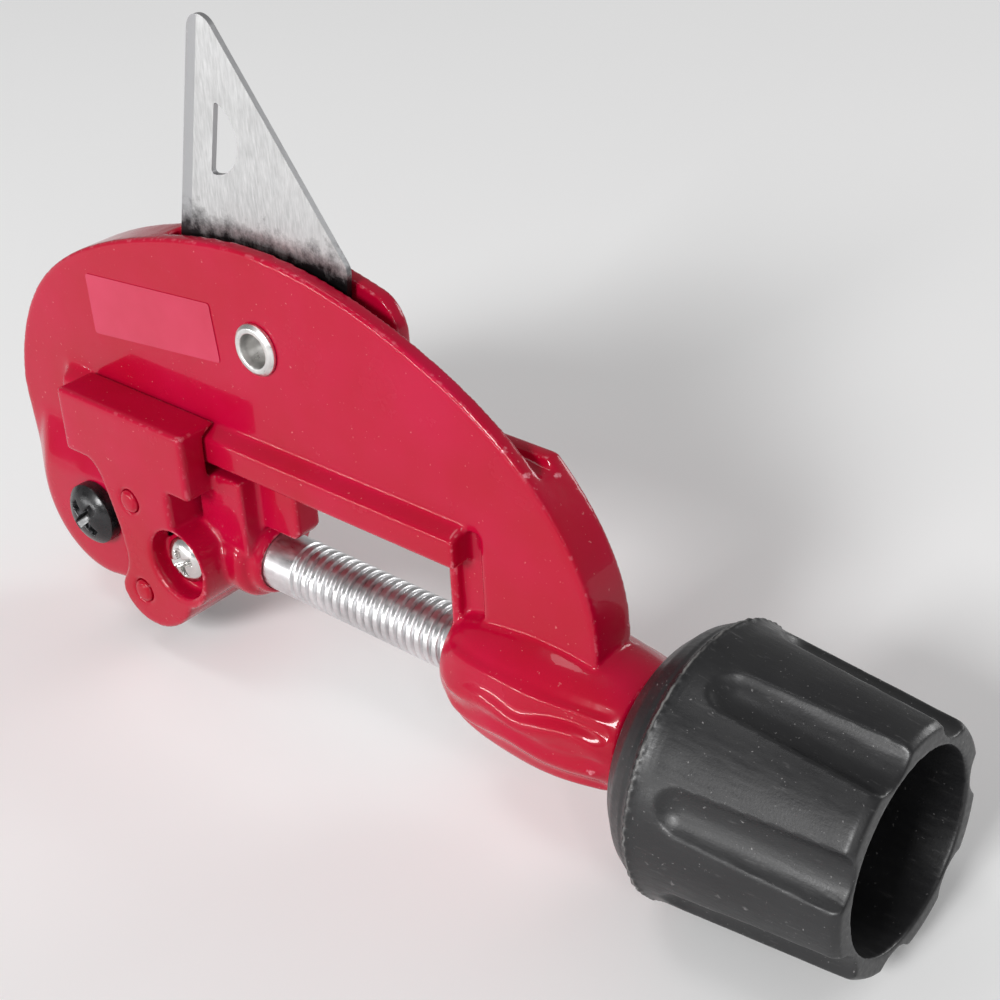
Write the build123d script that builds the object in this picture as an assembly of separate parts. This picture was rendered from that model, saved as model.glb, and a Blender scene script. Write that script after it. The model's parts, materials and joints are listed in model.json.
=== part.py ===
from build123d import *
import math
import os

# Hand pipe cutter with a folding reamer, in millimetres.
# Dimensions are laid out about the feed screw: X runs along it towards the knob, Z points up to
# the arched back of the frame, Y is the thickness. place() then moves the origin to the centre of
# the reamer rivet's through hole.

# ---- driving dimensions -------------------------------------------------------------------------
RUNNING_GAP = 0.05          # radial clearance of turning fits
SEAT_GAP = 0.03             # radial clearance of pieces that sit still in a hole

RIVET_X, RIVET_Z = 13.43, 41.36
RIVET_BORE_R = 2.6
RIVET_SHANK_R = 3.3
RIVET_HEAD_R = 4.25
RIVET_HEAD_T = 1.1

PLATE_HALF = 4.1            # half thickness of the frame plate
POCKET_HALF = 1.5           # half width of the reamer pocket inside the frame
SLOT_LEFT = -8.8            # left end of the slot that the reamer swings out of
BLADE_HALF = 0.45
FOLD_DEGREES = 100.0        # how far the reamer swings down into its pocket
GRIND_WIDTH, GRIND_DEPTH = 2.4, 0.3     # bevel along the reamer's cutting edge, on both faces
RAIL_HALF = 6.9
RAIL_TOP, RAIL_SHOULDER, RAIL_BOTTOM = 24.8, 23.4, 18.6
RAIL_LEFT, RAIL_RIGHT = -36.0, 53.5
COLUMN_RIGHT = -22.6        # inner edge of the jaw that holds the cutter wheel
NOSE_HALF = 8.0             # half thickness of the jaw round the wheel
WEB_LEFT, PLATE_INNER = 50.0, 56.0

WHEEL_X, WHEEL_R = -28.8, 8.8
WHEEL_HUB_HALF = 2.6
WHEEL_POCKET_HALF = 3.1
WHEEL_POCKET_R = 9.6
AXLE_R = 2.5
AXLE_HEAD_R, AXLE_HEAD_H = 5.55, 3.7

ROLLER_X, ROLLER_OFFSET_Z = -14.1, 8.8
ROLLER_R, ROLLER_HALF = 8.0, 7.95
ROLLER_PIN_R = 2.0

SLIDE_HALF = 12.2           # half width of the slide
CHEEK_INNER = 8.3           # inner face of the cheeks that carry the rollers
BLOCK_LEFT, BLOCK_RIGHT = -29.3, 1.5
BLOCK_BOTTOM, BLOCK_TOP = 13.85, 25.5
SLOT_HALF, SLOT_BOTTOM = 7.2, 16.6

SCREW_R = 5.0               # thread of 10 mm by 1.75 mm, drawn as its outside cylinder
SCREW_GROOVE_R = 2.6
SCREW_END = 98.2
RETAINER_X = -4.2           # cross screw that holds the feed screw's tip in the slide

KNOB_LEFT, KNOB_RIGHT = 84.2, 123.9
KNOB_FLOOR = 96.0
KNOB_HOLLOW_R = 14.5
KNOB_FLUTES = 7
KNOB_FIRST_FLUTE = -97.0    # degrees from +Y towards +Z


# ---- helpers ------------------------------------------------------------------------------------
def place(shape):
    """Move a piece from the feed screw's frame to the rivet's frame."""
    return Pos(-RIVET_X, 0, -RIVET_Z) * shape


def slab(outline, y_low, y_high):
    """Solid between two Y planes from an outline drawn with X across and Z up."""
    flat = extrude(Pos(0, 0, -y_high) * outline, amount=y_high - y_low, dir=(0, 0, 1))
    return Rot(90, 0, 0) * flat


def rod_y(x, z, radius, y_low, y_high):
    """Round bar along Y."""
    return slab(Pos(x, z) * Circle(radius), y_low, y_high)


def rod_x(radius, x_low, x_high):
    """Round bar along the feed screw's axis."""
    return Pos(x_low, 0, 0) * Rot(0, 90, 0) * extrude(Circle(radius), amount=x_high - x_low)


def turned_x(points):
    """Solid of revolution about the feed screw's axis from (x, radius) points."""
    return revolve(make_face(Polyline(*points, close=True)), axis=Axis.X)


def turned_y(points, x, z):
    """Solid of revolution about an axis along Y at (x, z), from (radius, y) points."""
    return Pos(x, 0, z) * revolve(make_face(Polyline(*points, close=True)), axis=Axis.Y)


def block(x_low, x_high, y_low, y_high, z_low, z_high):
    """Rectangular block by its limits."""
    size = Box(x_high - x_low, y_high - y_low, z_high - z_low)
    return Pos((x_low + x_high) / 2, (y_low + y_high) / 2, (z_low + z_high) / 2) * size


def sector(radius, start, end):
    """Pie slice about the origin."""
    arc = CenterArc((0, 0), radius, start, end - start)
    return make_face([arc, Line(arc @ 1, (0, 0)), Line((0, 0), arc @ 0)])


# ---- frame --------------------------------------------------------------------------------------
def plate_outline():
    """C-shaped side view of the frame: arched back, jaw at the left, open throat."""
    back = Spline([(76.2, 6.0), (75.3, 21.5), (64.5, 37.2), (43.6, 50.0), (14.3, 56.7),
                   (-11.0, 53.4), (-27.3, 47.7), (-40.6, 38.8), (-48.8, 26.0), (-51.2, 11.5)])
    tip = Spline([back @ 1, (-49.7, 2.2), (-45.6, -5.0), (-38.6, -11.4), (-30.4, -13.9),
                  (-25.0, -10.2), (COLUMN_RIGHT, -3.0)])
    inside = Polyline((COLUMN_RIGHT, -3.0), (COLUMN_RIGHT, RAIL_BOTTOM), (WEB_LEFT, RAIL_BOTTOM),
                      (WEB_LEFT, 6.0), (76.2, 6.0))
    return make_face([back, tip, inside])


def blade_outline():
    """Triangular side view of the unfolded reamer blade, with rounded corners."""
    corners = (((3.3, 94.2), 3.1), ((30.7, 57.2), 2.5), ((29.6, 48.0), 5.0), ((19.5, 33.2), 5.0),
               ((8.0, 32.6), 4.0), ((-6.7, 50.6), 1.5))
    outline = Polygon(*[corner for corner, radius in corners], align=None)
    for corner, radius in corners:
        outline = fillet(outline.vertices().sort_by_distance(corner)[0], radius=radius)
    return outline


def pocket_outline():
    """Space inside the frame that the reamer sweeps through, open at the arched back."""
    swept = Circle(16.0)
    swept += sector(24.4, -64.0, 178.0)
    swept += sector(53.0, -6.5, 110.0)
    folded = Rot(0, 0, -FOLD_DEGREES) * Pos(-RIVET_X, -RIVET_Z) * blade_outline()
    swept += offset(folded, 0.6)
    outline = Pos(RIVET_X, RIVET_Z) * swept
    return outline - Pos(SLOT_LEFT - 20.0, 60.0) * Rectangle(40.0, 40.0)


def rail():
    """Guide rail on both sides of the plate, with a sloping top edge."""
    section = Polyline((-PLATE_HALF, RAIL_TOP), (-RAIL_HALF, RAIL_SHOULDER), (-RAIL_HALF, RAIL_BOTTOM),
                       (RAIL_HALF, RAIL_BOTTOM), (RAIL_HALF, RAIL_SHOULDER), (PLATE_HALF, RAIL_TOP),
                       close=True)
    profile = Plane.YZ.offset(RAIL_LEFT) * make_face(section)
    return extrude(profile, amount=RAIL_RIGHT - RAIL_LEFT, dir=(1, 0, 0))


def jaw():
    """Thick lobe round the cutter wheel that flares out into the plate on its left and top."""
    root, swell = 3.9, 8.5
    foot_outline = Pos(-33.4, 2.4) * Circle(16.6)
    face = Plane.XZ.offset(NOSE_HALF) * Pos(-30.0, 0.0) * Circle(13.9)
    near = loft([Plane.XZ.offset(root) * foot_outline, face])
    both = near + mirror(near, Plane.XZ) + slab(foot_outline, -root, root)
    limit = Polyline((-swell, -20), (-swell, 5.0), (-root, 13.2), (root, 13.2), (swell, 5.0),
                     (swell, -20), close=True)
    profile = Plane.YZ.offset(-60.0) * make_face(limit)
    return both & extrude(profile, amount=60.0 + COLUMN_RIGHT, dir=(1, 0, 0))


def screw_boss():
    """Barrel that carries the feed screw's nut thread, with the web that joins it to the rail."""
    profile = Spline([(49.6, 7.4), (52.8, 9.3), (59.6, 10.9), (66.5, 11.5), (73.5, 11.2),
                      (80.0, 10.2), (83.6, 9.3)])
    rim = Polyline(profile @ 1, (83.6, 0), (49.6, 0), profile @ 0)
    barrel = revolve(make_face([profile, rim]), axis=Axis.X)
    lip = block(49.6, 51.4, -4.1, 4.1, 0, 17.0)
    return barrel + lip


def make_frame():
    """Die-cast frame: plate with reamer pocket, rail, jaw and screw boss."""
    body = slab(plate_outline(), -PLATE_HALF, PLATE_HALF)
    recess = slab(Polygon((51.3, 7.0), (PLATE_INNER, 7.0), (PLATE_INNER, 24.0), (51.3, 24.0),
                          align=None), 2.3, PLATE_HALF + 1)
    body -= recess + mirror(recess, Plane.XZ)
    body += rail() + jaw() + screw_boss()
    body -= slab(pocket_outline(), -POCKET_HALF, POCKET_HALF)
    corner = ThreePointArc((38.0, 47.5), (36.9, 51.0), (33.8, 53.6))
    edges = Polyline((33.8, 53.6), (33.8, 60.0), (80.0, 60.0), (65.5, 37.1), (38.0, 37.1), (38.0, 47.5))
    notch = make_face([corner, edges])
    body -= slab(notch, POCKET_HALF - 0.5, PLATE_HALF + 1)
    body -= rod_x(SCREW_R + RUNNING_GAP, 40, 90)
    body -= rod_y(RIVET_X, RIVET_Z, RIVET_SHANK_R + SEAT_GAP, -10, 10)
    body -= slab(Pos(WHEEL_X, 0) * Circle(WHEEL_POCKET_R), -WHEEL_POCKET_HALF, WHEEL_POCKET_HALF)
    body -= block(WHEEL_X, -10, -WHEEL_POCKET_HALF, WHEEL_POCKET_HALF, -8.0, 8.0)
    body -= rod_y(WHEEL_X, 0, AXLE_R + SEAT_GAP, -20, NOSE_HALF - 0.8)
    return body


# ---- slide --------------------------------------------------------------------------------------
def cheek_outline():
    """Side view of the slide below its block: waist, counterbore bulge and rounded foot."""
    left = Spline([(-26.5, 14.4), (-21.6, 12.0), (-20.3, 8.9), (-17.6, -0.6), (-18.1, -6.0),
                   (-20.0, -10.0), (-18.2, -13.2), (-14.0, -15.1), (-8.6, -14.2), (-2.2, -7.9)])
    bulge = ThreePointArc((-2.2, -7.9), (2.75, -0.6), (-3.9, 6.6))
    side = Polyline((-3.9, 6.6), (-3.9, 14.4), (-26.5, 14.4))
    return make_face([left, bulge, side])


def keyhole_boss():
    """Round collar round the feed screw with a flat plinth and a guide tongue under the rail."""
    collar = turned_x([(-3.0, 0), (-3.0, 7.6), (5.4, 7.6), (6.4, 6.9), (6.6, 6.1), (8.2, 6.1),
                       (9.3, 5.4), (9.3, 0)])
    top = RAIL_BOTTOM - 0.8
    plinth = block(-3.0, 7.5, -6.3, 6.3, 3.0, top)
    tongue = slab(Polygon((6.0, 7.0), (14.8, 7.0), (16.0, 8.4), (16.0, top), (6.0, top), align=None),
                  -2.5, 2.5)
    return collar + plinth + tongue


def rail_slot():
    """Slot through the block for the rail and the plate above it."""
    gap = SLOT_HALF - RAIL_HALF
    section = Polyline((-4.4, BLOCK_TOP + 1), (-4.4, RAIL_TOP + gap), (-SLOT_HALF, RAIL_SHOULDER + gap),
                       (-SLOT_HALF, SLOT_BOTTOM), (SLOT_HALF, SLOT_BOTTOM),
                       (SLOT_HALF, RAIL_SHOULDER + gap), (4.4, RAIL_TOP + gap), (4.4, BLOCK_TOP + 1),
                       close=True)
    profile = Plane.YZ.offset(BLOCK_LEFT - 5) * make_face(section)
    slot = extrude(profile, amount=BLOCK_RIGHT - BLOCK_LEFT + 25, dir=(1, 0, 0))
    column = block(BLOCK_LEFT - 5, -21.4, -4.4, 4.4, BLOCK_BOTTOM - 3, SLOT_BOTTOM + 1)
    return slot + column


def roller_space():
    """Hollow between the cheeks, open towards the cutter wheel."""
    space = block(-45, -10.0, -CHEEK_INNER, CHEEK_INNER, -20, BLOCK_BOTTOM)
    for side in (-1, 1):
        space += rod_y(ROLLER_X, side * ROLLER_OFFSET_Z, ROLLER_R + 0.5, -CHEEK_INNER, CHEEK_INNER)
    return space


def make_slide():
    """Die-cast slide that runs on the rail and carries the rollers."""
    body = block(BLOCK_LEFT, BLOCK_RIGHT, -SLIDE_HALF, SLIDE_HALF, BLOCK_BOTTOM, BLOCK_TOP)
    body += slab(cheek_outline(), -SLIDE_HALF, SLIDE_HALF)
    body += keyhole_boss()
    body -= rail_slot() + roller_space()
    body -= rod_x(SCREW_R + RUNNING_GAP, -1.0, 20.0)
    body -= rod_x(4.3, -6.6, 0)
    body -= rod_x(2.0, -7.75, 0)
    for side in (-1, 1):
        body -= rod_y(ROLLER_X, side * ROLLER_OFFSET_Z, ROLLER_PIN_R + SEAT_GAP, -20, 20)
    body -= rod_y(RETAINER_X, 0, 6.17, -SLIDE_HALF - 1, -8.6)
    body -= rod_y(RETAINER_X, 0, 2.0 + SEAT_GAP, -9, -4.0)
    return body


# ---- turned pieces ------------------------------------------------------------------------------
def make_roller(side):
    """Steel roller with chamfered ends and a narrow groove that the cutter wheel can enter."""
    r, h, bore = ROLLER_R, ROLLER_HALF, ROLLER_PIN_R + RUNNING_GAP
    points = [(bore, -h), (r - 0.7, -h), (r, -h + 0.7), (r, -0.8), (r - 1.2, -0.5), (r - 1.2, 0.5),
              (r, 0.8), (r, h - 0.7), (r - 0.7, h), (bore, h)]
    return turned_y(points, ROLLER_X, side * ROLLER_OFFSET_Z)


def make_roller_axle(side):
    """Pin staked through both cheeks, with slightly domed ends."""
    end = SLIDE_HALF + 0.5
    r = ROLLER_PIN_R
    points = [(0, -end), (r - 0.6, -end + 0.1), (r, -end + 0.5), (r, end - 0.5),
              (r - 0.6, end - 0.1), (0, end)]
    return turned_y(points, ROLLER_X, side * ROLLER_OFFSET_Z)


def make_cutter_wheel():
    """Hardened wheel: thin V-edged disc on a wider hub."""
    bore = AXLE_R + RUNNING_GAP
    h = WHEEL_HUB_HALF
    points = [(bore, -h), (4.3, -h), (4.3, -1.0), (5.2, -0.9), (WHEEL_R, -0.05), (WHEEL_R, 0.05),
              (5.2, 0.9), (4.3, 1.0), (4.3, h), (bore, h)]
    return turned_y(points, WHEEL_X, 0)


def make_wheel_washer(side):
    """Thin shim between the wheel's hub and the jaw."""
    low, high = sorted((side * (WHEEL_HUB_HALF + 0.05), side * (WHEEL_POCKET_HALF - 0.05)))
    return rod_y(WHEEL_X, 0, 4.4, low, high) - rod_y(WHEEL_X, 0, AXLE_R + SEAT_GAP, -9, 9)


def cross_recess(radius, depth):
    """Four-winged driver recess, narrower at its foot, reaching from -depth to above zero."""
    arm = radius * 0.22
    side = Polyline((-radius * 0.45, -depth), (radius * 0.45, -depth), (radius, 0), (radius, depth),
                    (-radius, depth), (-radius, 0), close=True)
    wing = slab(make_face(side), -arm, arm)
    return wing + Rot(0, 0, 90) * wing


def pan_head(radius, height):
    """Domed screw head with a cross recess, its underside on the origin plane."""
    crown = height * 0.45
    shoulder = (radius, height - crown)
    dome = ThreePointArc(shoulder, (radius * 0.74, height - crown * 0.32), (0, height))
    side = Polyline((0, height), (0, 0), (radius, 0), shoulder)
    head = Rot(90, 0, 0) * revolve(make_face([dome, side]), axis=Axis.Y)
    return head - Pos(0, 0, height) * cross_recess(radius * 0.70, height * 0.55)


def make_wheel_axle_screw():
    """Shouldered pan-head screw on which the cutter wheel turns."""
    head = Pos(WHEEL_X, -NOSE_HALF, 0) * Rot(90, 0, 45) * pan_head(AXLE_HEAD_R, AXLE_HEAD_H)
    return head + rod_y(WHEEL_X, 0, AXLE_R, -NOSE_HALF, NOSE_HALF - 0.8)


def make_retaining_screw():
    """Pan-head screw whose thin end sits in the feed screw's groove."""
    head = Pos(RETAINER_X, -8.6, 0) * Rot(90, 0, 20) * pan_head(4.07, 2.4)
    shank = rod_y(RETAINER_X, 0, 2.0, -8.6, -4.9)
    return head + shank + rod_y(RETAINER_X, 0, 1.3, -4.9, -2.9)


def make_feed_screw():
    """Feed screw: grooved tip in the slide, thread in the boss, turned-down end in the knob."""
    flange, left, right = 3.7, RETAINER_X - 1.5, RETAINER_X + 1.5
    return turned_x([(-6.5, 0), (-6.5, flange - 0.5), (-6.2, flange), (left, flange),
                     (left, SCREW_GROOVE_R), (right, SCREW_GROOVE_R), (right, 4.2), (-0.8, 4.2),
                     (-0.8, SCREW_R), (86.0, SCREW_R), (86.0, 4.0), (96.3, 4.0), (96.3, 3.4),
                     (97.3, 3.4), (97.3, 4.0), (SCREW_END - 0.5, 4.0), (SCREW_END, 3.5),
                     (SCREW_END, 0)])


def make_thrust_disc():
    """Hardened disc that takes the feed screw's push at the bottom of its bore."""
    return rod_x(1.95, -7.7, -6.55)


def make_retaining_ring():
    """Open ring in the feed screw's end groove, which holds the knob on."""
    ring = rod_x(6.3, 96.4, 97.2) - rod_x(3.45, 96, 98)
    return ring - block(96, 98, 0, 9, -1.8, 1.8)


# ---- knob ---------------------------------------------------------------------------------------
def knob_flute(index):
    """Round-bottomed flute with a spoon-shaped start that runs out at the open end."""
    angle = KNOB_FIRST_FLUTE + index * 360.0 / KNOB_FLUTES
    radius = 5.2
    start_x, start_wall, start_depth = 101.2, 19.55, 1.35
    end_wall, end_depth = 17.8, 2.3
    fall = (start_wall - start_depth) - (end_wall - end_depth)
    slope = math.degrees(math.atan2(fall, KNOB_RIGHT - start_x))
    bar = extrude(Circle(radius), amount=40) + Sphere(radius)
    bar = Pos(start_x, 0, start_wall - start_depth + radius) * Rot(0, 90 + slope, 0) * bar
    return Rot(angle - 90, 0, 0) * bar


def make_knob():
    """Hollow fluted hand knob, open at its outer end."""
    body = turned_x([(KNOB_LEFT, 0), (KNOB_LEFT, 8.7), (85.2, 12.0), (87.2, 15.6), (89.7, 18.2),
                     (92.6, 19.8), (93.4, 20.6), (94.6, 20.6), (95.4, 20.1), (122.9, 17.9),
                     (KNOB_RIGHT, 17.2), (KNOB_RIGHT, KNOB_HOLLOW_R), (KNOB_FLOOR + 1.5, KNOB_HOLLOW_R),
                     (KNOB_FLOOR, KNOB_HOLLOW_R - 1.5), (KNOB_FLOOR, 0)])
    for index in range(KNOB_FLUTES):
        body -= knob_flute(index)
    body -= rod_x(SCREW_R + SEAT_GAP, KNOB_LEFT - 1, 86.0)
    return body - rod_x(4.0 + SEAT_GAP, 80, 100)


# ---- reamer -------------------------------------------------------------------------------------
def make_reamer_blade():
    """Folding blade with a D-shaped window."""
    window = make_face([Line((3.6, 66.0), (6.2, 77.6)),
                        ThreePointArc((6.2, 77.6), (10.1, 72.4), (3.6, 66.0))])
    window = fillet(window.vertices(), radius=0.6)
    blade = slab(blade_outline() - window, -BLADE_HALF, BLADE_HALF)
    ground = make_face(Polyline((GRIND_WIDTH, BLADE_HALF), (-GRIND_WIDTH, BLADE_HALF - 2 * GRIND_DEPTH),
                                (-GRIND_WIDTH, 3.0), (GRIND_WIDTH, 3.0), close=True))
    wedge = Pos(-7.4, 0, 46.4) * Rot(0, 12.5, 0) * extrude(ground, amount=46.0)
    blade -= wedge + mirror(wedge, Plane.XZ)
    return blade - rod_y(RIVET_X, RIVET_Z, RIVET_SHANK_R + RUNNING_GAP, -5, 5)


def make_reamer_washer(side):
    """Spring washer that holds the blade where it is put."""
    low, high = sorted((side * (BLADE_HALF + 0.05), side * (POCKET_HALF - 0.05)))
    ring = rod_y(RIVET_X, RIVET_Z, 6.0, low, high)
    return ring - rod_y(RIVET_X, RIVET_Z, RIVET_SHANK_R + SEAT_GAP, -5, 5)


def make_reamer_rivet():
    """Hollow rivet, flared over on both sides of the frame, open right through."""
    face, lip = PLATE_HALF + 0.02, PLATE_HALF + RIVET_HEAD_T
    b, s, h = RIVET_BORE_R, RIVET_SHANK_R, RIVET_HEAD_R
    points = [(b, -face), (b + 0.25, -lip), (h - 0.6, -lip), (h, -lip + 0.5), (h, -face), (s, -face),
              (s, face), (h, face), (h, lip - 0.5), (h - 0.6, lip), (b + 0.25, lip), (b, face)]
    return turned_y(points, RIVET_X, RIVET_Z)


def make_label():
    """Blank clear sticker on the front of the plate."""
    outline = Polygon((-27.0, 43.6), (-26.7, 33.0), (4.4, 36.4), (3.4, 46.2), align=None)
    return slab(fillet(outline.vertices(), radius=0.6), -PLATE_HALF - 0.14, -PLATE_HALF - 0.02)


# ---- write the pieces ---------------------------------------------------------------------------
PIECES = {
    "frame": make_frame(),
    "slide": make_slide(),
    "feed_screw": make_feed_screw(),
    "thrust_disc": make_thrust_disc(),
    "retaining_screw": make_retaining_screw(),
    "knob": make_knob(),
    "knob_retaining_ring": make_retaining_ring(),
    "cutter_wheel": make_cutter_wheel(),
    "wheel_axle_screw": make_wheel_axle_screw(),
    "wheel_washer_front": make_wheel_washer(-1),
    "wheel_washer_rear": make_wheel_washer(1),
    "roller_upper": make_roller(1),
    "roller_lower": make_roller(-1),
    "roller_axle_upper": make_roller_axle(1),
    "roller_axle_lower": make_roller_axle(-1),
    "reamer_blade": make_reamer_blade(),
    "reamer_rivet": make_reamer_rivet(),
    "reamer_washer_front": make_reamer_washer(-1),
    "reamer_washer_rear": make_reamer_washer(1),
    "blank_label": make_label(),
}

os.makedirs("parts", exist_ok=True)
for name, piece in PIECES.items():
    export_step(place(piece), "parts/" + name + ".step")
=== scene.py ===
import json
import math

import bmesh
import bpy
from mathutils import Matrix, Vector, noise as field


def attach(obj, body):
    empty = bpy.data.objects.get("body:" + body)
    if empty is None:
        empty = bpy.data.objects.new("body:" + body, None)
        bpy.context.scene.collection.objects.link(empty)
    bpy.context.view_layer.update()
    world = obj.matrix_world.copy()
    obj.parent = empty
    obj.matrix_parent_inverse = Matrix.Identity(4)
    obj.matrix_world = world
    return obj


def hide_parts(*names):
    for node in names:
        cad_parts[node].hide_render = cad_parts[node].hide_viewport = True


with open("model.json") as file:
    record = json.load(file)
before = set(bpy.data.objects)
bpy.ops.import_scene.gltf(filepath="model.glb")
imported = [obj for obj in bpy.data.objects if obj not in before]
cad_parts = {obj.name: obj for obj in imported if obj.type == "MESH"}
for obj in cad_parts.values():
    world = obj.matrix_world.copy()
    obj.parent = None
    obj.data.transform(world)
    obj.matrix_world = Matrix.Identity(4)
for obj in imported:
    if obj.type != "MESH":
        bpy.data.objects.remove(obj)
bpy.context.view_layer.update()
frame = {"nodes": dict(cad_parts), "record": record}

# The pieces are laid out in millimetres about the feed screw: X along it towards the knob, Z up to
# the frame's arched back. row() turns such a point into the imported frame, in metres.
RIVET_X, RIVET_Z = 13.43, 41.36
MM = 0.001
PITCH = 1.75


def row(x, y, z):
    """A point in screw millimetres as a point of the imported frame."""
    return Vector(((x - RIVET_X) * MM, y * MM, (z - RIVET_Z) * MM))


# Where the knob's moulding line runs, and how far noise makes it wander. The noise averages one
# half, so half the wander is added to SEAM_X. SEAM_REACH is the half width the line's ramp covers.
SEAM_WANDER = 0.0016
SEAM_X = (93.7 - RIVET_X) * MM + SEAM_WANDER / 2
SEAM_REACH = 0.0010

# Height above the rivet where the near-black band along the blade's foot starts to fade, and its
# fade per metre.
FOOT_DARK_TOP = 0.0125
FOOT_DARK_FADE = 80.0


# ---- materials ----------------------------------------------------------------------------------
def start_material(name):
    """A node material with its shader, and texture coordinates that stay with the piece."""
    mat = bpy.data.materials.new(name)
    mat.use_nodes = True
    nodes = mat.node_tree.nodes
    shader = nodes["Principled BSDF"]
    coords = nodes.new("ShaderNodeTexCoord")
    return mat, nodes, mat.node_tree.links, shader, coords.outputs["Object"]


def noise(nodes, links, vector, scale, detail=4.0, roughness=0.55, stretch=None):
    """Fractal noise, optionally stretched along the axes."""
    if stretch is not None:
        mapping = nodes.new("ShaderNodeMapping")
        mapping.inputs["Scale"].default_value = stretch
        links.new(vector, mapping.inputs["Vector"])
        vector = mapping.outputs["Vector"]
    tex = nodes.new("ShaderNodeTexNoise")
    tex.inputs["Scale"].default_value = scale
    tex.inputs["Detail"].default_value = detail
    tex.inputs["Roughness"].default_value = roughness
    links.new(vector, tex.inputs["Vector"])
    return tex.outputs["Fac"]


def ramp(nodes, links, value, stops):
    """Colour ramp from (position, grey or colour) stops."""
    node = nodes.new("ShaderNodeValToRGB")
    elements = node.color_ramp.elements
    while len(elements) < len(stops):
        elements.new(0.5)
    for element, (position, colour) in zip(elements, stops):
        if not isinstance(colour, tuple):
            colour = (colour, colour, colour)
        element.position = position
        element.color = (colour[0], colour[1], colour[2], 1.0)
    links.new(value, node.inputs["Fac"])
    return node.outputs["Color"]


def blend(nodes, links, factor, first, second, mode="MIX"):
    """Mixed colour; first and second are sockets or colours."""
    node = nodes.new("ShaderNodeMix")
    node.data_type = "RGBA"
    node.blend_type = mode
    if isinstance(factor, float):
        node.inputs[0].default_value = factor
    else:
        links.new(factor, node.inputs[0])
    for socket, value in ((node.inputs[6], first), (node.inputs[7], second)):
        if isinstance(value, tuple):
            socket.default_value = (value[0], value[1], value[2], 1.0)
        else:
            links.new(value, socket)
    return node.outputs[2]


def bump(nodes, links, shader, heights):
    """Chain of bumps from (height socket, strength, distance) onto the shader's normal."""
    normal = None
    for height, strength, distance in heights:
        node = nodes.new("ShaderNodeBump")
        node.inputs["Strength"].default_value = strength
        node.inputs["Distance"].default_value = distance
        links.new(height, node.inputs["Height"])
        if normal is not None:
            links.new(normal, node.inputs["Normal"])
        normal = node.outputs["Normal"]
    links.new(normal, shader.inputs["Normal"])


def edge_wear_and_highlight_mask(nodes, links, vector, low, high, scale=900.0):
    """Mask of convex edges, broken up by noise."""
    geometry = nodes.new("ShaderNodeNewGeometry")
    edge = ramp(nodes, links, geometry.outputs["Pointiness"], ((low, 0.0), (high, 1.0)))
    patches = ramp(nodes, links, noise(nodes, links, vector, scale), ((0.48, 0.0), (0.62, 1.0)))
    return blend(nodes, links, 1.0, edge, patches, "MULTIPLY")


def enamel(name, base, dark):
    """Glossy enamel over a die casting: slight waviness, dust specks, thin worn edges plus painted
    highlight.
    """
    mat, nodes, links, shader, at = start_material(name)
    broad = ramp(nodes, links, noise(nodes, links, at, 45.0, 3.0), ((0.3, dark), (0.7, base)))
    specks = ramp(nodes, links, noise(nodes, links, at, 1500.0, 2.0), ((0.71, 0.0), (0.76, 0.35)))
    colour = blend(nodes, links, specks, broad, (0.75, 0.30, 0.30))
    # Convex edges painted pale pink: partly worn-thin paint, partly a painted highlight along the
    # rims.
    edge_wear_and_highlight = edge_wear_and_highlight_mask(nodes, links, at, 0.518, 0.565)
    colour = blend(nodes, links, ramp(nodes, links, edge_wear_and_highlight, ((0.1, 0.0), (1.0, 0.55))), colour,
                   (0.80, 0.36, 0.42))
    links.new(colour, shader.inputs["Base Color"])
    gloss = ramp(nodes, links, noise(nodes, links, at, 120.0, 5.0), ((0.3, 0.17), (0.7, 0.30)))
    links.new(gloss, shader.inputs["Roughness"])
    shader.inputs["Specular IOR Level"].default_value = 0.10
    shader.inputs["Coat Weight"].default_value = 0.40
    shader.inputs["Coat Roughness"].default_value = 0.03
    peel = noise(nodes, links, at, 420.0, 2.0)
    casting = noise(nodes, links, at, 90.0, 3.0)
    bump(nodes, links, shader, ((casting, 0.35, 0.0006), (peel, 0.10, 0.0002)))
    return mat


def metal(name, colour, rough, stretch, grain_scale=900.0, bump_strength=0.2, spots=0.15,
          groove_shade=0.0):
    """Plated or ground metal with directional grain, stains and scratches, and painted shade in its
    grooves.
    """
    mat, nodes, links, shader, at = start_material(name)
    dull = tuple(0.72 * c for c in colour)
    stain = noise(nodes, links, at, 160.0, 6.0, 0.6)
    tone = ramp(nodes, links, stain, ((0.30, dull), (0.62, colour)))
    grain = noise(nodes, links, at, grain_scale, 4.0, 0.6, stretch)
    streak = ramp(nodes, links, grain, ((0.3, 0.78), (0.7, 1.0)))
    tone = blend(nodes, links, 0.6, tone, streak, "MULTIPLY")
    pits = ramp(nodes, links, noise(nodes, links, at, 2400.0, 2.0), ((0.70, 0.0), (0.78, 1.0)))
    faint = blend(nodes, links, 1.0, pits, (spots, spots, spots), "MULTIPLY")
    tone = blend(nodes, links, faint, tone, (0.05, 0.05, 0.05))
    # Painted shade: concave grooves, found by pointiness, are darkened towards near black.
    if groove_shade > 0.0:
        geometry = nodes.new("ShaderNodeNewGeometry")
        groove = ramp(nodes, links, geometry.outputs["Pointiness"], ((0.42, groove_shade), (0.49, 0.0)))
        tone = blend(nodes, links, groove, tone, (0.03, 0.025, 0.03))
    links.new(tone, shader.inputs["Base Color"])
    links.new(ramp(nodes, links, grain, ((0.25, rough * 0.75), (0.75, rough * 1.35))),
              shader.inputs["Roughness"])
    shader.inputs["Metallic"].default_value = 1.0
    bump(nodes, links, shader, ((grain, bump_strength, 0.00008), (stain, 0.05, 0.0002)))
    return mat


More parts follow.
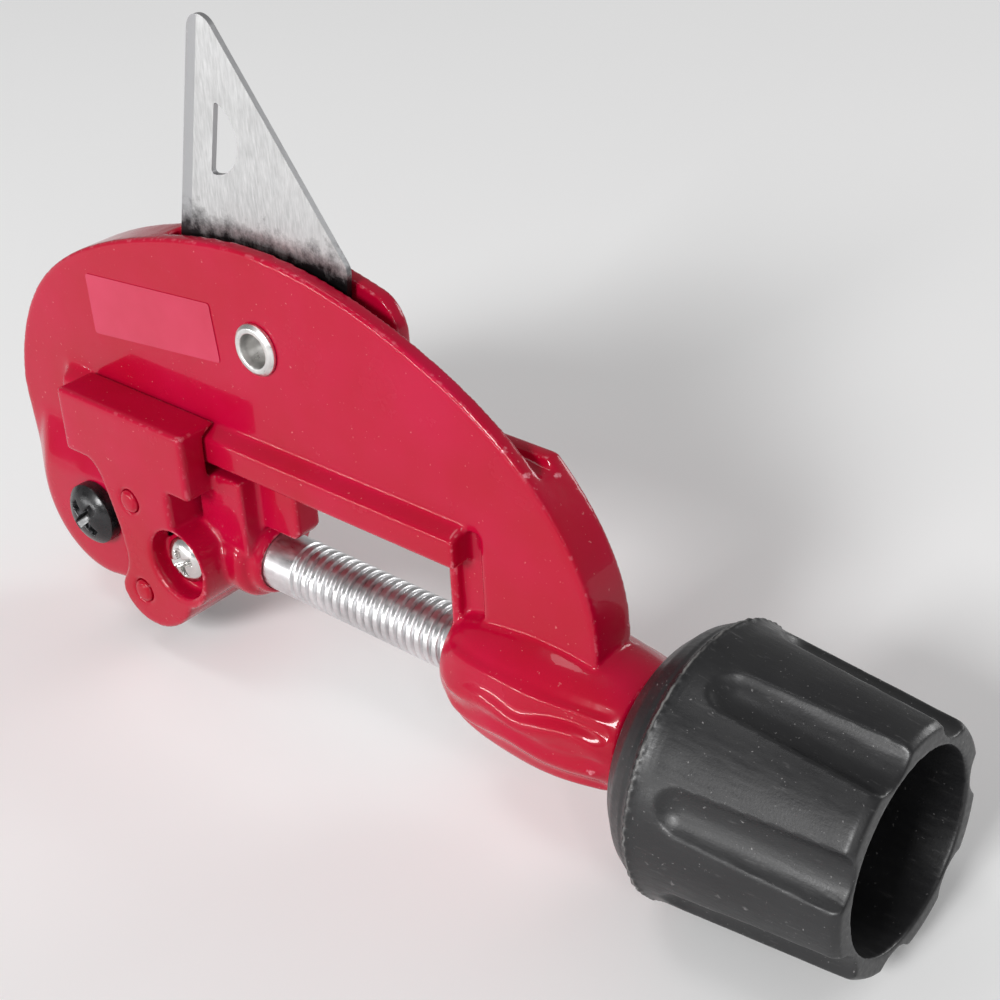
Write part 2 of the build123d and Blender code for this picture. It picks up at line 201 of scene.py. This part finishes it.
def foot_darkening(nodes, links, at):
    """Mask of the ragged near-black band along the blade's foot."""
    split = nodes.new("ShaderNodeSeparateXYZ")
    links.new(at, split.inputs[0])
    rise = nodes.new("ShaderNodeMath")
    rise.operation = "MULTIPLY_ADD"
    rise.inputs[1].default_value = FOOT_DARK_FADE
    rise.inputs[2].default_value = -FOOT_DARK_FADE * FOOT_DARK_TOP
    links.new(split.outputs["Z"], rise.inputs[0])
    ragged = nodes.new("ShaderNodeMath")
    ragged.operation = "ADD"
    links.new(rise.outputs[0], ragged.inputs[0])
    links.new(noise(nodes, links, at, 330.0, 6.0, 0.7), ragged.inputs[1])
    return ramp(nodes, links, ragged.outputs[0], ((0.62, 0.97), (1.05, 0.0)))


def ground_faces(nodes, links):
    """Mask of the faces that lean away from the flat of the sheet."""
    facing = nodes.new("ShaderNodeTexCoord")
    lean = nodes.new("ShaderNodeVectorMath")
    lean.operation = "ABSOLUTE"
    links.new(facing.outputs["Normal"], lean.inputs[0])
    flat = nodes.new("ShaderNodeSeparateXYZ")
    links.new(lean.outputs[0], flat.inputs[0])
    return ramp(nodes, links, flat.outputs["Y"], ((0.9950, 1.0), (0.9985, 0.0)))


def blade_steel(name):
    """Rolled stainless sheet: upright grain, greyer ground edge, ragged near-black band at the
    foot.
    """
    mat, nodes, links, shader, at = start_material(name)
    grain = noise(nodes, links, at, 500.0, 5.0, 0.6, (7.0, 7.0, 1.0))
    tone = ramp(nodes, links, grain, ((0.25, 0.50), (0.75, 0.68)))
    cloud = noise(nodes, links, at, 75.0, 4.0)
    tone = blend(nodes, links, 0.7, tone, ramp(nodes, links, cloud, ((0.3, 0.86), (0.65, 1.0))),
                 "MULTIPLY")
    tone = blend(nodes, links, ground_faces(nodes, links), tone, (0.45, 0.45, 0.46))
    # The blade turns near black towards its foot, in a ragged band.
    tone = blend(nodes, links, foot_darkening(nodes, links, at), tone, (0.012, 0.010, 0.012))
    links.new(tone, shader.inputs["Base Color"])
    links.new(ramp(nodes, links, grain, ((0.25, 0.30), (0.75, 0.46))), shader.inputs["Roughness"])
    shader.inputs["Metallic"].default_value = 0.9
    bump(nodes, links, shader, ((grain, 0.25, 0.00005), (cloud, 0.05, 0.0003)))
    return mat


def black_oxide(name):
    """Oiled black steel with rubbed, brighter edges."""
    mat, nodes, links, shader, at = start_material(name)
    base = ramp(nodes, links, noise(nodes, links, at, 350.0, 5.0),
                ((0.3, (0.006, 0.006, 0.007)), (0.7, (0.020, 0.020, 0.022))))
    edge_wear_and_highlight = edge_wear_and_highlight_mask(nodes, links, at, 0.53, 0.60, 1400.0)
    colour = blend(nodes, links, edge_wear_and_highlight, base, (0.32, 0.32, 0.34))
    links.new(colour, shader.inputs["Base Color"])
    links.new(ramp(nodes, links, noise(nodes, links, at, 700.0), ((0.3, 0.20), (0.7, 0.38))),
              shader.inputs["Roughness"])
    shader.inputs["Metallic"].default_value = 0.35
    shader.inputs["Specular IOR Level"].default_value = 0.75
    bump(nodes, links, shader, ((noise(nodes, links, at, 1800.0, 4.0), 0.25, 0.0001),))
    return mat


def moulding_line(nodes, links, at):
    """Mask of the wandering, broken line that the mould's halves left round the knob."""
    split = nodes.new("ShaderNodeSeparateXYZ")
    links.new(at, split.inputs[0])
    wander = nodes.new("ShaderNodeMath")
    wander.operation = "MULTIPLY_ADD"
    wander.inputs[1].default_value = SEAM_WANDER
    links.new(noise(nodes, links, at, 110.0, 5.0, 0.6, (0.1, 1.0, 1.0)), wander.inputs[0])
    links.new(split.outputs["X"], wander.inputs[2])
    place = nodes.new("ShaderNodeMapRange")
    place.inputs["From Min"].default_value = SEAM_X - SEAM_REACH
    place.inputs["From Max"].default_value = SEAM_X + SEAM_REACH
    links.new(wander.outputs[0], place.inputs["Value"])
    seam = ramp(nodes, links, place.outputs["Result"],
                ((0.38, 0.0), (0.48, 0.8), (0.54, 0.8), (0.64, 0.0)))
    broken = ramp(nodes, links, noise(nodes, links, at, 420.0, 4.0), ((0.40, 0.15), (0.60, 1.0)))
    return blend(nodes, links, 1.0, seam, broken, "MULTIPLY")


def moulded_plastic(name):
    """Black moulding with a soft sheen, faint flow marks, scuffs and dust specks."""
    mat, nodes, links, shader, at = start_material(name)
    base = ramp(nodes, links, noise(nodes, links, at, 70.0, 4.0),
                ((0.3, (0.009, 0.009, 0.010)), (0.7, (0.018, 0.018, 0.019))))
    dust = ramp(nodes, links, noise(nodes, links, at, 1900.0, 3.0), ((0.68, 0.0), (0.75, 0.55)))
    colour = blend(nodes, links, dust, base, (0.30, 0.29, 0.29))
    scuff = noise(nodes, links, at, 260.0, 5.0, 0.65, (1.0, 5.0, 5.0))
    marks = ramp(nodes, links, scuff, ((0.62, 0.0), (0.72, 0.22)))
    colour = blend(nodes, links, marks, colour, (0.16, 0.155, 0.155))
    edge_wear_and_highlight = edge_wear_and_highlight_mask(nodes, links, at, 0.53, 0.60, 700.0)
    colour = blend(nodes, links, ramp(nodes, links, edge_wear_and_highlight, ((0.1, 0.0), (1.0, 0.5))), colour,
                   (0.22, 0.21, 0.21))
    colour = blend(nodes, links, moulding_line(nodes, links, at), colour, (0.17, 0.165, 0.16))
    links.new(colour, shader.inputs["Base Color"])
    links.new(ramp(nodes, links, scuff, ((0.3, 0.30), (0.7, 0.48))), shader.inputs["Roughness"])
    shader.inputs["Specular IOR Level"].default_value = 0.46
    grain = noise(nodes, links, at, 2600.0, 3.0)
    bump(nodes, links, shader, ((scuff, 0.12, 0.0002), (grain, 0.22, 0.00006)))
    return mat


def film(name):
    """Blank clear sticker over red enamel."""
    mat, nodes, links, shader, at = start_material(name)
    base = ramp(nodes, links, noise(nodes, links, at, 60.0, 3.0),
                ((0.3, (0.44, 0.010, 0.045)), (0.7, (0.52, 0.022, 0.075))))
    links.new(base, shader.inputs["Base Color"])
    links.new(ramp(nodes, links, noise(nodes, links, at, 300.0), ((0.3, 0.10), (0.7, 0.22))),
              shader.inputs["Roughness"])
    shader.inputs["Specular IOR Level"].default_value = 0.30
    shader.inputs["Coat Weight"].default_value = 0.4
    shader.inputs["Coat Roughness"].default_value = 0.05
    bump(nodes, links, shader, ((noise(nodes, links, at, 160.0, 2.0), 0.2, 0.0003),))
    return mat


RED, RED_DARK = (0.42, 0.002, 0.034), (0.36, 0.001, 0.016)
MATERIALS = {
    "frame_enamel": enamel("frame_red_enamel", RED, RED_DARK),
    "slide_enamel": enamel("slide_red_enamel", RED, RED_DARK),
    "pin_enamel": enamel("pin_red_enamel", RED, RED_DARK),
    # The feed screw's zinc gets painted shade in its thread grooves (its last argument).
    "screw_zinc": metal("bright_zinc", (0.80, 0.80, 0.81), 0.34, (1.0, 3.0, 3.0), 500.0, 0.08, 0.1,
                        0.9),
    "hard_steel": metal("hard_steel", (0.45, 0.45, 0.46), 0.30, (1.0, 1.0, 4.0)),
    "screw_head_nickel": metal("bright_nickel", (0.84, 0.83, 0.81), 0.17, (1.0, 1.0, 1.0), 700.0),
    "knob_plastic": moulded_plastic("black_moulding"),
    "wheel_steel": metal("ground_steel", (0.55, 0.55, 0.56), 0.22, (5.0, 1.0, 5.0)),
    "axle_black_oxide": black_oxide("black_oxide_axle"),
    "roller_black_oxide": black_oxide("black_oxide_roller"),
    "washer_steel": metal("washer_zinc", (0.62, 0.62, 0.63), 0.30, (1.0, 1.0, 1.0)),
    "blade_steel": blade_steel("rolled_stainless"),
    "rivet_nickel": metal("rivet_nickel", (0.95, 0.94, 0.92), 0.30, (1.0, 1.0, 1.0), 500.0),
    "label_film": film("label_film"),
}
SLOT_OF = {part["node"]: part["material_slot"] for part in frame["record"]["subparts"]}
BODY_OF = {node: body for body, nodes in frame["record"]["behaviour"]["bodies"].items()
           for node in nodes}


# ---- mesh helpers -------------------------------------------------------------------------------
def finish_piece(obj, node):
    """Put a piece in place of a CAD node: its body, material slot and material."""
    obj.data.materials.clear()
    obj.data.materials.append(MATERIALS[SLOT_OF[node]])
    obj.data.polygons.foreach_set("use_smooth", [True] * len(obj.data.polygons))
    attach(obj, BODY_OF[node])
    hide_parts(node)


def evaluated(obj, name):
    """New object holding obj's mesh with its modifiers applied; obj is removed."""
    graph = bpy.context.evaluated_depsgraph_get()
    mesh = bpy.data.meshes.new_from_object(obj.evaluated_get(graph))
    bpy.data.objects.remove(obj)
    result = bpy.data.objects.new(name, mesh)
    bpy.context.collection.objects.link(result)
    return result


def copy_node(node):
    """Free copy of a CAD node's mesh."""
    obj = bpy.data.objects.new("copy_" + node, frame["nodes"][node].data.copy())
    bpy.context.collection.objects.link(obj)
    return obj


def soften(obj, name, voxel_mm, passes):
    """Even remesh and smoothing, which rounds every edge the way a cast or moulded one is."""
    remesh = obj.modifiers.new("remesh", "REMESH")
    remesh.mode = "VOXEL"
    remesh.voxel_size = voxel_mm * MM
    smooth = obj.modifiers.new("smooth", "SMOOTH")
    smooth.factor = 0.5
    smooth.iterations = passes
    return evaluated(obj, name)


def mesh_object(name, verts, faces):
    """Object from vertices and faces, with normals made to face outwards."""
    mesh = bpy.data.meshes.new(name)
    mesh.from_pydata(verts, [], faces)
    build = bmesh.new()
    build.from_mesh(mesh)
    bmesh.ops.recalc_face_normals(build, faces=build.faces)
    build.to_mesh(mesh)
    build.free()
    obj = bpy.data.objects.new(name, mesh)
    bpy.context.collection.objects.link(obj)
    return obj


# ---- feed screw ---------------------------------------------------------------------------------
SCREW_LEFT, SCREW_RIGHT = -6.5, 98.2
SCREW_SIDES = 96
END_CHAMFER = 0.45
THREAD_LEFT, THREAD_RIGHT = 14.2, 81.0
THREAD_DEPTH = 0.62
THREAD_RUNOUT = 1.8
# Shares of half a pitch taken by the thread's flat root and by its flank.
ROOT_SHARE, FLANK_SHARE = 0.10, 0.45
THREAD_STEP, PLAIN_STEP = 0.1, 0.3


def core_radius(x):
    """Radius of the feed screw without its thread: tip, neck, collar, shank and knob seat."""
    steps = ((-5.7, 3.7), (-2.7, 2.6), (-0.8, 4.2), (86.0, 5.0), (96.3, 4.0), (97.3, 3.4),
             (SCREW_RIGHT, 4.0))
    for limit, radius in steps:
        if x <= limit:
            return radius
    return steps[-1][1]


def thread_dip(x, turn):
    """How deep the rounded trapezoidal thread cuts at a point on the screw's surface."""
    phase = (x / PITCH - turn) % 1.0
    centred = abs(phase - 0.5) * 2.0
    flank = min(max((centred - ROOT_SHARE) / FLANK_SHARE, 0.0), 1.0)
    shape = 1.0 - flank * flank * (3.0 - 2.0 * flank)
    runout = min(max((x - THREAD_LEFT) / THREAD_RUNOUT, 0.0), 1.0)
    runout *= min(max((THREAD_RIGHT - x) / THREAD_RUNOUT, 0.0), 1.0)
    return THREAD_DEPTH * shape * runout


def make_feed_screw():
    """Feed screw with a rolled right-hand thread."""
    sides = SCREW_SIDES
    stations = []
    x = SCREW_LEFT
    while x < SCREW_RIGHT:
        stations.append(x)
        x += THREAD_STEP if THREAD_LEFT - 0.2 < x < THREAD_RIGHT + 0.2 else PLAIN_STEP
    stations.append(SCREW_RIGHT)
    verts, faces = [], []
    for x in stations:
        end_gap = min(x - SCREW_LEFT, SCREW_RIGHT - x)
        chamfer = END_CHAMFER * max(0.0, 1.0 - end_gap / END_CHAMFER)
        for k in range(sides):
            turn = k / sides
            radius = core_radius(x) - chamfer - thread_dip(x, turn)
            angle = 2.0 * math.pi * turn
            verts.append(row(x, radius * math.cos(angle), radius * math.sin(angle)))
    for i in range(len(stations) - 1):
        for k in range(sides):
            a, b = i * sides + k, i * sides + (k + 1) % sides
            faces.append((a, b, b + sides, a + sides))
    faces.append(tuple(range(sides)))
    faces.append(tuple(range((len(stations) - 1) * sides, len(stations) * sides)))
    finish_piece(mesh_object("feed_screw_threaded", verts, faces), "feed_screw")


# ---- castings and mouldings ---------------------------------------------------------------------
# Voxel size in millimetres and smoothing passes of each piece with soft edges.
SOFTENED = {
    "frame": (0.38, 12),
    "slide": (0.36, 12),
    "knob": (0.32, 6),
    "retaining_screw": (0.12, 5),
    "wheel_axle_screw": (0.14, 6),
    "reamer_rivet": (0.12, 5),
    "roller_axle_upper": (0.16, 5),
    "roller_axle_lower": (0.16, 5),
}


def ease(value, low, high):
    """Smooth step from 0 at low to 1 at high."""
    t = min(max((value - low) / (high - low), 0.0), 1.0)
    return t * t * (3.0 - 2.0 * t)


def window(value, low, high, fade):
    """1 between low and high, fading to 0 outside them."""
    return ease(value, low - fade, low) * (1.0 - ease(value, high, high + fade))


def to_screw(point):
    """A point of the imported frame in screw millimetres."""
    return point.x / MM + RIVET_X, point.y / MM, point.z / MM + RIVET_Z


def settle(obj, weight_at, passes):
    """Extra smoothing where weight_at(x, y, z) is above zero."""
    group = obj.vertex_groups.new(name="settle")
    for vertex in obj.data.vertices:
        weight = weight_at(*to_screw(vertex.co))
        if weight > 0.0:
            group.add([vertex.index], weight, "REPLACE")
    smooth = obj.modifiers.new("settle", "SMOOTH")
    smooth.factor = 0.5
    smooth.iterations = passes
    smooth.vertex_group = "settle"
    name = obj.name
    obj.name = "unsettled"
    result = evaluated(obj, name)
    result.vertex_groups.clear()
    return result


PLATE_HALF = 3.0
WHEEL_X = -28.8
JAW_PASSES = 90


def jaw_swelling(x, y, z):
    """Where the plate swells into the thick jaw, clear of the wheel's seat and pocket."""
    side = ease(abs(y), PLATE_HALF, PLATE_HALF + 0.8)
    seat = ease(math.hypot(x - WHEEL_X, z), 6.6, 8.4)
    left = 1.0 - ease(x, -27.0, -23.5)
    low = 1.0 - ease(z, 9.0, 17.5)
    rail_end = window(x, -44.0, -32.5, 2.5) * window(z, 16.5, 26.5, 1.5)
    return side * max(seat * left * low, rail_end)


BOSS_LEFT, BOSS_RIGHT = 54.0, 80.0
RIPPLE_WAVES = 15.0
RIPPLE_HEIGHT = 0.32


def ripple_boss(obj):
    """Shallow lengthwise ripples that the casting left on the screw boss."""
    for vertex in obj.data.vertices:
        x, y, z = to_screw(vertex.co)
        radius = math.hypot(y, z)
        amount = window(x, BOSS_LEFT, BOSS_RIGHT, 3.0) * ease(radius, 6.5, 8.5)
        amount *= 1.0 - ease(z, 5.5, 8.0)
        if amount <= 0.0:
            continue
        turn = math.atan2(z, y)
        sway = 3.6 * field.noise(Vector((x * 0.09, turn * 1.3, 0.3)))
        wave = math.sin(turn * RIPPLE_WAVES + sway)
        wave *= 0.9 + 0.6 * field.noise(Vector((x * 0.06, turn * 2.5, 4.1)))
        push = RIPPLE_HEIGHT * amount * wave
        vertex.co += Vector((0.0, y / radius, z / radius)) * (push * MM)


KNOB_WALL_R = 16.5
KNOB_LINE_X = 93.65
KNOB_LIFT = 0.12


def rag_knob(obj):
    """Ragged moulding line round the knob's big end, and slight sink in its walls."""
    for vertex in obj.data.vertices:
        x, y, z = to_screw(vertex.co)
        radius = math.hypot(y, z)
        if radius < KNOB_WALL_R:
            continue
        turn = math.atan2(z, y)
        around = Vector((math.cos(turn), math.sin(turn), 0.0))
        line = window(x + 0.35 * field.noise(around * 7.0), 93.4, 93.9, 0.5)
        lift = -0.25 * ease(abs(x - KNOB_LINE_X), 2.0, 0.9) + 0.22 * line
        lift += line * 0.25 * field.noise(around * 22.0)
        lift += 0.10 * field.noise(Vector((x * 0.12, turn * 2.5, 1.7))) * ease(x, 95.5, 99.0)
        vertex.co += Vector((0.0, y / radius, z / radius)) * (min(lift, KNOB_LIFT) * MM)


def make_soft_pieces():
    """Castings, mouldings and screw heads with their edges rounded."""
    for node_name, (voxel, passes) in SOFTENED.items():
        soft = soften(copy_node(node_name), node_name + "_soft", voxel, passes)
        if node_name == "frame":
            soft = settle(soft, jaw_swelling, JAW_PASSES)
            ripple_boss(soft)
        if node_name == "knob":
            rag_knob(soft)
        finish_piece(soft, node_name)


def dress_cad_pieces():
    """Materials for the nodes that keep their CAD mesh."""
    replaced = set(SOFTENED) | {"feed_screw"}
    for node_name, node in frame["nodes"].items():
        if node_name in replaced:
            continue
        for slot in node.material_slots:
            slot.material = MATERIALS[SLOT_OF[node_name]]


# ---- floor, light, camera -----------------------------------------------------------------------
FLOOR_Z = -0.06206
FLOOR_HALF = 6.0
WORLD_STRENGTH = 0.30


def make_floor():
    """Large pale floor."""
    corners = ((-1, -1), (1, -1), (1, 1), (-1, 1))
    verts = [(sx * FLOOR_HALF, sy * FLOOR_HALF, FLOOR_Z) for sx, sy in corners]
    floor = mesh_object("floor", verts, [(0, 1, 2, 3)])
    mat, nodes, links, shader, at = start_material("floor_pale")
    links.new(ramp(nodes, links, noise(nodes, links, at, 3.0), ((0.3, 0.92), (0.7, 0.94))),
              shader.inputs["Base Color"])
    shader.inputs["Roughness"].default_value = 0.9
    shader.inputs["Specular IOR Level"].default_value = 0.1
    floor.data.materials.append(mat)


def area_light(name, place, target, width, height, watts):
    """Soft rectangular studio light aimed at a point."""
    data = bpy.data.lights.new(name, "AREA")
    data.shape = "RECTANGLE"
    data.size = width
    data.size_y = height
    data.energy = watts
    lamp = bpy.data.objects.new(name, data)
    bpy.context.collection.objects.link(lamp)
    lamp.location = place
    aim = Vector(target) - Vector(place)
    lamp.rotation_euler = aim.to_track_quat("-Z", "Y").to_euler()


def make_lights():
    """Soft key, top and back light over a pale world, and two strips that line the edges."""
    middle = (0.02, 0.0, -0.02)
    area_light("key", (0.25, -1.85, 1.00), middle, 0.60, 0.45, 33.0)
    area_light("top", (-0.70, -0.30, 1.90), middle, 0.5, 0.5, 3.5)
    area_light("strip", (0.75, -0.55, 0.45), middle, 0.04, 0.5, 0.9)
    area_light("low_strip", (-0.45, -0.95, 0.03), middle, 0.70, 0.025, 3.2)
    area_light("back", (0.70, 1.75, 0.60), middle, 0.8, 0.6, 12.0)
    world = bpy.data.worlds.new("studio")
    world.use_nodes = True
    background = world.node_tree.nodes["Background"]
    background.inputs["Color"].default_value = (1.0, 1.0, 1.0, 1.0)
    background.inputs["Strength"].default_value = WORLD_STRENGTH
    bpy.context.scene.world = world


# The camera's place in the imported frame, and its right and up directions.
CAMERA_AT = (0.19051, -0.16381, 0.11905)
CAMERA_RIGHT = (0.7576, 0.6509, -0.0482)
CAMERA_UP = (-0.2883, 0.4000, 0.8700)


def make_camera():
    """Camera that looks down on the near face from the knob's side."""
    data = bpy.data.cameras.new("camera")
    data.sensor_width = 36.0
    data.lens = 65.6
    data.shift_x = 0.0116
    data.shift_y = -0.0492
    data.clip_start = 0.01
    camera = bpy.data.objects.new("camera", data)
    bpy.context.collection.objects.link(camera)
    right = Vector(CAMERA_RIGHT)
    up = Vector(CAMERA_UP)
    back = right.cross(up).normalized()
    up = back.cross(right).normalized()
    right.normalize()
    turn = Matrix((right, up, back)).transposed().to_4x4()
    camera.matrix_world = Matrix.Translation(CAMERA_AT) @ turn
    bpy.context.scene.camera = camera


make_soft_pieces()
make_feed_screw()
dress_cad_pieces()
make_floor()
make_lights()
make_camera()
bpy.context.scene.view_settings.view_transform = "Standard"
